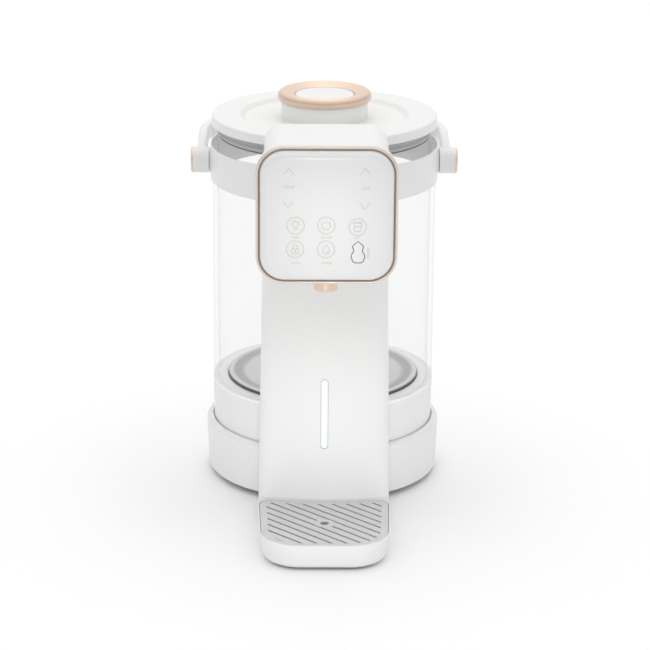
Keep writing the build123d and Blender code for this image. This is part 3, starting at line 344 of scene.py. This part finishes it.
def circuit_laminate():
    """Green board with tracks and tinned pads."""
    finish = Finish("circuit_laminate", {})
    tracks = finish.node(
        "TexBrick",
        {"offset": 0.35, "squash": 0.6},
        {
            "Vector": finish.stretched((420.0, 420.0, 420.0)),
            "Color1": grey(0.0),
            "Color2": grey(0.0),
            "Mortar": grey(1.0),
            "Scale": 1.0,
            "Mortar Size": 0.06,
        },
    )
    cells = finish.node("TexVoronoi", {}, {"Vector": finish.place(), "Scale": 420.0})
    pads = 1.0 - finish.band(cells, 0.16, 0.2)
    green = finish.tint(tracks, colour(0.008, 0.07, 0.028), colour(0.02, 0.17, 0.07))
    finish.feed("Base Color", finish.tint(pads, green, colour(0.7, 0.69, 0.66)))
    finish.feed("Metallic", pads * 0.9)
    finish.feed("Roughness", 0.42 - pads * 0.14)
    finish.relief(tracks + pads, 0.04)
    return finish.material


def plated_steel(name, tone, grain):
    """Plated metal with fine draw marks and a few dull spots."""
    finish = Finish(name, {"Metallic": 1.0})
    draw = finish.streaks(grain, detail=2.0)
    spots = finish.band(finish.noise(scale=500.0, detail=4.0), 0.55, 0.75)
    finish.feed("Base Color", finish.tint(spots, colour(*tone), toned(tone, 0.72)))
    finish.feed("Roughness", 0.26 + draw * 0.14 + spots * 0.2)
    finish.relief(draw, 0.02)
    return finish.material


def night_light():
    """Milky bar with a faint, slightly clouded glow."""
    finish = Finish("night_light", {"Emission Strength": 0.12, "Roughness": 0.35})
    cloud = finish.noise(scale=220.0, detail=2.0)
    milk = finish.tint(cloud, colour(0.8, 0.82, 0.86), colour(0.86, 0.88, 0.92))
    glow = finish.tint(cloud, colour(0.55, 0.6, 0.74), colour(0.66, 0.7, 0.82))
    finish.feed("Base Color", milk)
    finish.feed("Emission Color", glow)
    return finish.material


def printed_ink(name, tone):
    """Printed marks on the panel, a little uneven as screen print is."""
    finish = Finish(name, {})
    grain = finish.noise(scale=4200.0, detail=3.0)
    finish.feed("Base Color", finish.tint(grain, colour(*tone), toned(tone, 1.12)))
    finish.feed("Roughness", 0.42 + grain * 0.14)
    finish.relief(grain, 0.01)
    return finish.material


# Finishes by material slot, and those of pieces that differ from their slot.
# All of the knob's neck lies above the rim, so it is whiter all over. The whiter tone of the foot
# above its rim, of the collar inside its bore and of the neck is painted light where they sit in
# shade.
FINISHES = {
    "white_shell": moulded_white("moulded_white"),
    "rose_gold": rose_gold("rose_gold", (0.755, 0.58, 0.46), (0.8, 0.625, 0.505)),
    "jug_glass": clear_glass(),
    "heater_steel": turned_steel(),
    "grille_grey": satin_grey(),
    "seal_grey": soft_seal("grey_silicone", (0.42, 0.42, 0.425)),
    "seal_white": soft_seal("white_silicone", (0.82, 0.82, 0.815)),
    "foot_rubber": foot_rubber(),
    "clear_hose": milky_hose(),
    "dark_plastic": hidden_moulding("dark_moulding", (0.035, 0.036, 0.038), 0.42),
    "valve_plastic": hidden_moulding("pale_moulding", (0.55, 0.55, 0.53), 0.36),
    "circuit_board": circuit_laminate(),
    "motor_steel": plated_steel("motor_can", (0.6, 0.61, 0.62), (90.0, 2600.0, 2600.0)),
    "screw_steel": plated_steel("screw_zinc", (0.66, 0.67, 0.7), (1800.0, 1800.0, 400.0)),
    "element_alloy": plated_steel("element_sheath", (0.3, 0.27, 0.24), (700.0, 700.0, 700.0)),
    "light_diffuser": night_light(),
}
OWN_FINISHES = {
    "panel_trim": rose_gold("pale_rose_gold", (0.7, 0.605, 0.54), (0.74, 0.645, 0.58)),
    "jug_foot": moulded_white("foot_painted_light", rim=BED_TOP),
    "knob_neck": moulded_white("neck_painted_light", rim=BED_TOP),
    "jug_collar": moulded_white("collar_painted_light", bore=COLLAR_BORE),
    # The liner: painted shade along its lower edge, and a lighter grey than the grey silicone,
    # painted light for its place in shade under the lid
    "lid_liner": soft_seal("liner_edge_shade", (0.5, 0.5, 0.505), shade_edge=LINER_SHADE_EDGE),
}
for name, piece in nodes.items():
    slot = piece.material_slots[0]
    slot_name = slot.material.name.split(".")[0]
    slot.material = OWN_FINISHES.get(name, FINISHES[slot_name])

# Clear glass lets the light into the jug
nodes["jug_glass"].visible_shadow = False
nodes["jug_glass"].visible_diffuse = False


class Maker:
    """A tree of geometry nodes, with named inputs for its sizes."""

    def __init__(self, name, inputs):
        self.tree = bpy.data.node_groups.new(name, "GeometryNodeTree")
        for label, kind in inputs.items():
            self.tree.interface.new_socket(label, in_out="INPUT", socket_type="NodeSocket" + kind)
        self.tree.interface.new_socket("Mesh", in_out="OUTPUT", socket_type="NodeSocketGeometry")
        self.inputs = self.tree.nodes.new("NodeGroupInput").outputs

    def node(self, kind, settings, values):
        """Add a node: its settings, then the values of its sockets; a list is several links."""
        made = self.tree.nodes.new(kind)
        for name, value in settings.items():
            setattr(made, name, value)
        for socket, value in values.items():
            for item in value if isinstance(value, list) else [value]:
                if isinstance(item, bpy.types.NodeSocket):
                    self.tree.links.new(item, made.inputs[socket])
                else:
                    made.inputs[socket].default_value = item
        return made.outputs[0]

    def sum(self, operation, first, second):
        """Add a Math node."""
        return self.node("ShaderNodeMath", {"operation": operation}, {0: first, 1: second})

    def vector(self, **parts):
        """A vector from its X, Y and Z, each 0 where it isn't given."""
        return self.node("ShaderNodeCombineXYZ", {}, parts)

    def close(self, geometry, material):
        """End the tree in real meshes with their material."""
        real = self.node("GeometryNodeRealizeInstances", {}, {"Geometry": geometry})
        painted = self.node("GeometryNodeSetMaterial", {}, {"Geometry": real, "Material": material})
        self.tree.links.new(painted, self.tree.nodes.new("NodeGroupOutput").inputs["Mesh"])
        return self.tree


def printed_line_tree():
    """Nodes that lay a flat printed line along every path they are given."""
    maker = Maker(
        "printed_line",
        {"Paths": "Geometry", "Line Width": "Float", "Film": "Float", "Ink": "Material"},
    )
    section = maker.node(
        "GeometryNodeCurvePrimitiveQuadrilateral",
        {},
        {"Width": maker.inputs["Line Width"], "Height": maker.inputs["Film"]},
    )
    line = maker.node(
        "GeometryNodeCurveToMesh",
        {},
        {"Curve": maker.inputs["Paths"], "Profile Curve": section, "Fill Caps": True},
    )
    return maker.close(line, maker.inputs["Ink"])


# Shares of a screw's head: its outer face, and the span, width and depth of its cross recess
HEAD_FACE = 0.84
RECESS_SPAN = 1.1
RECESS_WIDTH = 0.28
RECESS_DEPTH = 0.6
# Sides of a screw's head and of its shank
HEAD_SIDES = 40
SHANK_SIDES = 24


def cross_screw_tree():
    """Nodes that set a screw on every point, head down.

    It has a tapered head with a cross recess, and a plain shank.
    """
    maker = Maker(
        "cross_screw",
        {
            "Places": "Geometry",
            "Head Radius": "Float",
            "Head Height": "Float",
            "Shank Radius": "Float",
            "Shank Length": "Float",
            "Metal": "Material",
        },
    )
    head_r = maker.inputs["Head Radius"]
    head_height = maker.inputs["Head Height"]
    shank_length = maker.inputs["Shank Length"]
    face_r = maker.sum("MULTIPLY", head_r, HEAD_FACE)
    head = maker.node(
        "GeometryNodeMeshCone",
        {},
        {
            "Vertices": HEAD_SIDES,
            "Radius Top": head_r,
            "Radius Bottom": face_r,
            "Depth": head_height,
        },
    )
    span = maker.sum("MULTIPLY", head_r, RECESS_SPAN)
    width = maker.sum("MULTIPLY", head_r, RECESS_WIDTH)
    depth = maker.sum("MULTIPLY", head_height, 2 * RECESS_DEPTH)
    bars = [
        maker.node("GeometryNodeMeshCube", {}, {"Size": maker.vector(X=x, Y=y, Z=depth)})
        for x, y in ((span, width), (width, span))
    ]
    recessed = maker.node(
        "GeometryNodeMeshBoolean",
        {"operation": "DIFFERENCE", "solver": "EXACT"},
        {"Mesh 1": head, "Mesh 2": bars},
    )
    shank = maker.node(
        "GeometryNodeMeshCylinder",
        {},
        {"Vertices": SHANK_SIDES, "Radius": maker.inputs["Shank Radius"], "Depth": shank_length},
    )
    middle = maker.sum("ADD", head_height, maker.sum("MULTIPLY", shank_length, 0.5))
    raised = maker.node(
        "GeometryNodeTransform", {}, {"Geometry": shank, "Translation": maker.vector(Z=middle)}
    )
    screw = maker.node("GeometryNodeJoinGeometry", {}, {"Geometry": [recessed, raised]})
    screws = maker.node(
        "GeometryNodeInstanceOnPoints", {}, {"Points": maker.inputs["Places"], "Instance": screw}
    )
    return maker.close(screws, maker.inputs["Metal"])


def set_inputs(modifier, values):
    """Set a tree's inputs by the identifiers of their sockets."""
    for item in modifier.node_group.interface.items_tree:
        if item.item_type == "SOCKET" and item.in_out == "INPUT" and item.name in values:
            modifier[item.identifier] = values[item.name]


def plain_mesh(maker, name):
    """The evaluated result of a maker object as a plain mesh; the maker is removed."""
    bpy.context.view_layer.update()
    graph = bpy.context.evaluated_depsgraph_get()
    mesh = bpy.data.meshes.new_from_object(maker.evaluated_get(graph))
    mesh.name = name
    bpy.data.objects.remove(maker)
    return mesh


# Thickness of the print, and the turn that stands it up to face the user
FILM = 0.05 * MM
UPRIGHT = Matrix.Rotation(math.pi / 2, 4, "X")


def on_panel(mesh, name, finish, front=PANEL_FACE - FILM):
    """Stand a flat mesh up in front of the middle of the panel, on the base."""
    mesh.transform(Matrix.Translation((0, front, PANEL_Z)) @ UPRIGHT)
    piece = bpy.data.objects.new(name, mesh)
    bpy.context.collection.objects.link(piece)
    if not mesh.materials:
        mesh.materials.append(finish)
    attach(piece, "base")


def arc(x, y, radius, start, end, steps=28):
    """Points of an arc, its angles in degrees."""
    angles = [math.radians(start + (end - start) * i / steps) for i in range(steps + 1)]
    return [(x + radius * math.cos(a), y + radius * math.sin(a)) for a in angles]


def shifted(paths, x, y):
    """Paths moved by x and y."""
    return [([(px + x, py + y) for px, py in points], closed) for points, closed in paths]


LINES = printed_line_tree()
SCREWS = cross_screw_tree()
# Two points further apart than this belong to two screws
SCREW_APART = 10 * MM
# Digits of a length in metres, down to the micrometre
LENGTH_DIGITS = 6


def span_of(points, axis):
    """Lowest and highest value on an axis."""
    values = [point[axis] for point in points]
    return min(values), max(values)


def cross_screws(name, node, body):
    """Screws with a cross recess where a node has plain ones, and of the same sizes."""
    screws = []
    for vertex in nodes[node].data.vertices:
        near = [screw for screw in screws if (screw[0].xy - vertex.co.xy).length < SCREW_APART]
        if near:
            near[0].append(vertex.co)
        else:
            screws.append([vertex.co])
    low, seat, top = sorted({round(point.z, LENGTH_DIGITS) for point in screws[0]})
    tip = [point for point in screws[0] if point.z > (seat + top) / 2]
    head_left, head_right = span_of(screws[0], 0)
    shank_left, shank_right = span_of(tip, 0)
    places = bpy.data.meshes.new(name)
    middles = [(sum(span_of(screw, 0)) / 2, sum(span_of(screw, 1)) / 2, low) for screw in screws]
    places.from_pydata(middles, [], [])
    maker = bpy.data.objects.new(name, places)
    bpy.context.collection.objects.link(maker)
    modifier = maker.modifiers.new("screws", "NODES")
    modifier.node_group = SCREWS
    sizes = {
        "Head Radius": (head_right - head_left) / 2,
        "Head Height": seat - low,
        "Shank Radius": (shank_right - shank_left) / 2,
        "Shank Length": top - seat,
        "Metal": FINISHES["screw_steel"],
    }
    set_inputs(modifier, sizes)
    piece = bpy.data.objects.new(name, plain_mesh(maker, name))
    bpy.context.collection.objects.link(piece)
    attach(piece, body)
    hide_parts(node)


# Bedding ring: its rounded edges, its steps round the jug, and the angle that makes an edge sharp
BED_ROUND = 0.35 * MM
ROUND_STEPS = 3
BED_STEPS = 180
SHARP_ANGLE = math.radians(40)


def bedding_ring():
    """White ring that the foot of the glass is bedded in, up to the top of the gasket's lip."""
    gasket = nodes["glass_gasket"].data
    radii = [math.hypot(point.co.x, point.co.y - JUG_Y) for point in gasket.vertices]
    inside, outside = min(radii), max(radii)
    rounded = arc(0, 0, BED_ROUND, 0, 90, ROUND_STEPS)
    top = BED_TOP - BED_ROUND
    section = [(inside, gasket_low[2]), (outside, gasket_low[2])]
    section += [(outside - BED_ROUND + x, top + z) for x, z in rounded]
    section += [(inside + BED_ROUND - x, top + z) for x, z in reversed(rounded)]
    turns = [2 * math.pi * step / BED_STEPS for step in range(BED_STEPS)]
    points = [(r * math.cos(a), JUG_Y + r * math.sin(a), z) for a in turns for r, z in section]
    count = len(section)
    faces = [
        (
            step * count + i,
            (step + 1) % BED_STEPS * count + i,
            (step + 1) % BED_STEPS * count + (i + 1) % count,
            step * count + (i + 1) % count,
        )
        for step in range(BED_STEPS)
        for i in range(count)
    ]
    mesh = bpy.data.meshes.new("bedding_ring")
    mesh.from_pydata(points, [], faces)
    shape = bmesh.new()
    shape.from_mesh(mesh)
    bmesh.ops.recalc_face_normals(shape, faces=shape.faces)
    shape.to_mesh(mesh)
    shape.free()
    mesh.shade_smooth()
    mesh.set_sharp_from_angle(angle=SHARP_ANGLE)
    mesh.materials.append(FINISHES["seal_white"])
    ring = bpy.data.objects.new("bedding_ring", mesh)
    bpy.context.collection.objects.link(ring)
    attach(ring, "jug")
    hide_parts("glass_gasket")


bedding_ring()
cross_screws("base_screws", "plate_screws", "base")
cross_screws("lid_screw", "knob_screw", "lid")


def line_mesh(name, paths, width, film, finish):
    """Flat lines along paths, with their width in millimetres and their film in metres.

    Each path is its points in millimetres and whether it closes.
    """
    curve = bpy.data.curves.new(name, "CURVE")
    curve.dimensions = "3D"
    curve.twist_mode = "Z_UP"
    for points, closed in paths:
        spline = curve.splines.new("POLY")
        spline.points.add(len(points) - 1)
        for point, (x, y) in zip(spline.points, points):
            point.co = (x * MM, y * MM, 0.0, 1.0)
        spline.use_cyclic_u = closed
    maker = bpy.data.objects.new(name, curve)
    bpy.context.collection.objects.link(maker)
    modifier = maker.modifiers.new("print", "NODES")
    modifier.node_group = LINES
    set_inputs(modifier, {"Line Width": width * MM, "Film": film, "Ink": finish})
    return plain_mesh(maker, name)


def printed_lines(name, paths, width, ink):
    """Lines printed on the panel."""
    on_panel(line_mesh(name, paths, width, FILM, ink), name, ink)


# Height of a capital letter as a share of its font's size, and the steps of a letter's curves
CAPITAL_SHARE = 0.7
LETTER_STEPS = 3


def printed_word(name, text, x, y, height, turn, ink):
    """A small word on the panel: its middle and height in millimetres, its turn in degrees."""
    curve = bpy.data.curves.new(name, "FONT")
    curve.body = text
    curve.size = height * MM / CAPITAL_SHARE
    curve.align_x = "CENTER"
    curve.align_y = "CENTER"
    curve.extrude = FILM / 2
    curve.resolution_u = LETTER_STEPS
    maker = bpy.data.objects.new(name, curve)
    bpy.context.collection.objects.link(maker)
    mesh = plain_mesh(maker, name)
    turned = Matrix.Rotation(math.radians(turn), 4, "Z")
    mesh.transform(Matrix.Translation((x * MM, y * MM, 0)) @ turned)
    on_panel(mesh, name, ink)


PALE_INK = printed_ink("pale_ink", (0.58, 0.565, 0.55))
DARK_INK = printed_ink("dark_ink", (0.13, 0.125, 0.12))
# Widths of the printed lines in millimetres, and the ring round a key
KEY_LINE = 0.34
BOTTLE_LINE = 0.48
KEY_RING = (arc(0, 0, 4.9, 0, 354, 59), True)

# Icons, in millimetres from the middle of each
bulb = [
    (arc(0, 0.7, 1.55, -58, 238), False),
    ([(0.82, -0.6), (0.6, -1.7), (-0.6, -1.7), (-0.82, -0.6)], False),
    ([(-0.5, -2.3), (0.5, -2.3)], False),
]
rays = zip(arc(0, 0.7, 2.1, 0, 180, 4), arc(0, 0.7, 2.9, 0, 180, 4))
bulb += [(list(ray), False) for ray in rays]
power = [(arc(0, 0, 2.4, 118, 422), False), ([(0, 2.7), (0, 0.9)], False)]
cup = [
    ([(-2.3, 2.2), (2.3, 2.2), (1.7, -2.5), (-1.7, -2.5)], True),
    ([(-2.05, 0.3), (2.05, 0.3)], False),
    ([(-2.8, 2.9), (2.8, 2.9)], False),
]
lock = [
    ([(-1.9, 0.3), (1.9, 0.3), (1.9, -2.7), (-1.9, -2.7)], True),
    ([(-1.2, 0.3)] + arc(0, 1.5, 1.2, 180, 0) + [(1.2, 0.3)], False),
    (arc(0, -1.1, 0.45, 0, 330, 11), True),
]
drop = [
    ([(0, 3.0)] + arc(0, -0.7, 1.9, 28, -208), True),
    (arc(0, -0.7, 1.05, -20, -80, 10), False),
]
bottle_side = (
    [(0, 6.3)]
    + arc(2.1, 3.1, 1.05, 55, -35, 8)
    + [(2.4, 1.2)]
    + arc(0.4, -2.6, 3.4, 50, -35, 10)
    + arc(1.0, -3.9, 2.4, -15, -90, 8)
)
bottle = [(bottle_side + [(-x, y) for x, y in reversed(bottle_side[1:])], True)]
up = [([(-2.8, -1.9), (0, 1.9), (2.8, -1.9)], False)]
down = [([(-2.8, 1.9), (0, -1.9), (2.8, 1.9)], False)]

# Each key's icon and its place from the middle of the panel, in millimetres
keys = {
    "key_temp_up": shifted(up, -21.5, 26.5),
    "key_temp_down": shifted(down, -21.7, 7.2),
    "key_volume_up": shifted(up, 21.4, 26.5),
    "key_volume_down": shifted(down, 21.3, 6.6),
    "key_light": shifted(bulb + [KEY_RING], -17.6, -4.9),
    "key_power": shifted(power + [KEY_RING], -0.3, -4.8),
    "key_cup": shifted(cup + [KEY_RING], 17.4, -5.7),
    "key_lock": shifted(lock + [KEY_RING], -17.8, -18.8),
    "key_water": shifted(drop + [KEY_RING], -0.3, -18.8),
}
for key, paths in keys.items():
    printed_lines(key, paths, KEY_LINE, PALE_INK)
printed_lines("key_bottle", shifted(bottle, 17.7, -20.4), BOTTLE_LINE, DARK_INK)

# Each word's place from the middle of the panel, its height in millimetres and its turn in degrees
words = [
    ("word_temp", "TEMP", -21.5, 17.2, 1.9, 0.0),
    ("word_volume", "VOL", 21.7, 16.7, 1.9, 0.0),
    ("word_light", "LIGHT", -17.4, -11.9, 1.1, 0.0),
    ("word_power", "ON/OFF", 0.0, -12.0, 1.3, 0.0),
    ("word_cup", "CUP", 17.0, -12.1, 1.3, 0.0),
    ("word_lock", "LOCK", -17.4, -26.9, 1.3, 0.0),
    ("word_water", "WATER", 0.0, -27.1, 1.3, 0.0),
    ("word_start", "START", 23.7, -20.7, 1.5, 90.0),
]
for name, text, x, y, height, turn in words:
    printed_word(name, text, x, y, height, turn, PALE_INK)

# Brown strip in the groove between the panel and its trim, painted shade of the groove; the groove
# and corner in millimetres
GROOVE = 0.44
PANEL_CORNER = 14.3
CORNER_STEPS = 16
STRIP_DEPTH = 0.1 * MM
STRIP_THICK = 1.2 * MM


def rounded_rectangle(half_width, half_height, radius):
    """Points of a rounded rectangle, corner by corner."""
    x, y = half_width - radius, half_height - radius
    corners = [(x, y, 0), (-x, y, 90), (-x, -y, 180), (x, -y, 270)]
    arcs = [arc(cx, cy, radius, turn, turn + 90, CORNER_STEPS) for cx, cy, turn in corners]
    return [point for corner in arcs for point in corner]


half_panel = [(cover_high[axis] - cover_low[axis]) / 2 / MM + GROOVE / 2 for axis in (0, 2)]
groove_path = [(rounded_rectangle(*half_panel, PANEL_CORNER + GROOVE / 2), True)]
GROOVE_SHADE_BROWN = soft_seal("groove_shade_brown", (0.34, 0.265, 0.22))
strip_mesh = line_mesh("panel_strip", groove_path, GROOVE, STRIP_THICK, GROOVE_SHADE_BROWN)
strip_front = TRIM_FACE + STRIP_DEPTH + STRIP_THICK / 2
on_panel(strip_mesh, "panel_strip", GROOVE_SHADE_BROWN, strip_front)

# Floor
FLOOR_REACH = 6.0
floor_mesh = bpy.data.meshes.new("studio_floor")
corners = [(x * FLOOR_REACH, y * FLOOR_REACH, 0) for x, y in ((-1, -1), (1, -1), (1, 1), (-1, 1))]
floor_mesh.from_pydata(corners, [], [(0, 1, 2, 3)])
floor = bpy.data.objects.new("studio_floor", floor_mesh)
bpy.context.collection.objects.link(floor)
paper = Finish("studio_paper", {"Roughness": 0.9, "Specular IOR Level": 0.1})
fibre = paper.noise(scale=900.0, detail=2.0)
paper.feed("Base Color", paper.tint(fibre, grey(0.93), grey(0.95)))
floor_mesh.materials.append(paper.material)

# Light: a room with a white horizon, brightest overhead, brighter behind the object than at its
# sides and front, and three soft boxes. The glass needs more see-through layers than usual.
GLASS_LAYERS = 32
HORIZON = 1.0
HORIZON_RISE = 0.1
ROOM = 0.385
OVERHEAD = 1.03
SIDE_LOSS = 0.36
FRONT_LOSS = 0.36
BACK_GAIN = 0.45
scene = bpy.context.scene
scene.cycles.transparent_max_bounces = GLASS_LAYERS
scene.world = bpy.data.worlds.new("studio")
room = Shading(scene.world, "Background")
room.shader.inputs["Color"].default_value = grey(1.0)
across, depth, rise = room.axes(room.node("TexCoord", {}, {}, "Generated"))
overhead = room.node("Math", {"operation": "MAXIMUM"}, {0: rise, 1: 0.0})
front = room.node("Math", {"operation": "MINIMUM"}, {0: depth, 1: 0.0})
back = room.node("Math", {"operation": "MAXIMUM"}, {0: depth, 1: 0.0})
above = room.node("MapRange", {}, {"Value": overhead, "From Max": HORIZON_RISE})
loss = across * across * SIDE_LOSS + front * front * FRONT_LOSS - back * back * BACK_GAIN
sky = ROOM + overhead * OVERHEAD - loss * (1.0 - overhead)
room.feed("Strength", HORIZON * (1.0 - above) + sky * above)


def soft_box(name, place, aim, size, watts, spread):
    """A lamp that faces a point; size is its width and height, and spread is in degrees."""
    lamp = bpy.data.lights.new(name, "AREA")
    lamp.shape = "RECTANGLE"
    lamp.size, lamp.size_y = size
    lamp.energy = watts
    lamp.spread = math.radians(spread)
    box = bpy.data.objects.new(name, lamp)
    box.location = place
    box.rotation_euler = (Vector(aim) - Vector(place)).to_track_quat("-Z", "Y").to_euler()
    bpy.context.collection.objects.link(box)


soft_box(
    "over_box",
    place=(0.0, 0.9, 2.2),
    aim=(0.0, JUG_Y, 0.12),
    size=(1.2, 1.2),
    watts=4.0,
    spread=180.0,
)
soft_box(
    "low_box",
    place=(0.0, -0.85, 0.07),
    aim=(0.0, 0.0, 0.055),
    size=(0.16, 0.1),
    watts=0.026,
    spread=17.0,
)
soft_box(
    "panel_box",
    place=(0.0, -0.9, 0.19),
    aim=(0.0, 0.0, 0.2),
    size=(0.05, 0.05),
    watts=0.0031,
    spread=8.0,
)

# Camera: focal length, image and offset of the aim in pixels, distances in metres
FOCAL = 2500.0
IMAGE = 650.0
OFFSET = 2.0
SENSOR_WIDTH = 36.0
DISTANCE = 1.5073
HEIGHT = 0.5804
PITCH = math.radians(17.9)
YAW = math.radians(0.65)
ROLL = math.radians(0.4)
AIM_RIGHT = math.atan(OFFSET / FOCAL)
lens = bpy.data.cameras.new("photo_camera")
lens.sensor_width = SENSOR_WIDTH
lens.lens = FOCAL / IMAGE * SENSOR_WIDTH
camera = bpy.data.objects.new("photo_camera", lens)
camera.matrix_world = (
    Matrix.Translation((-DISTANCE * math.sin(YAW), JUG_Y - DISTANCE * math.cos(YAW), HEIGHT))
    @ Matrix.Rotation(-YAW - AIM_RIGHT, 4, "Z")
    @ Matrix.Rotation(math.pi / 2 - PITCH, 4, "X")
    @ Matrix.Rotation(ROLL, 4, "Z")
)
bpy.context.collection.objects.link(camera)
scene.camera = camera
scene.view_settings.view_transform = "Standard"
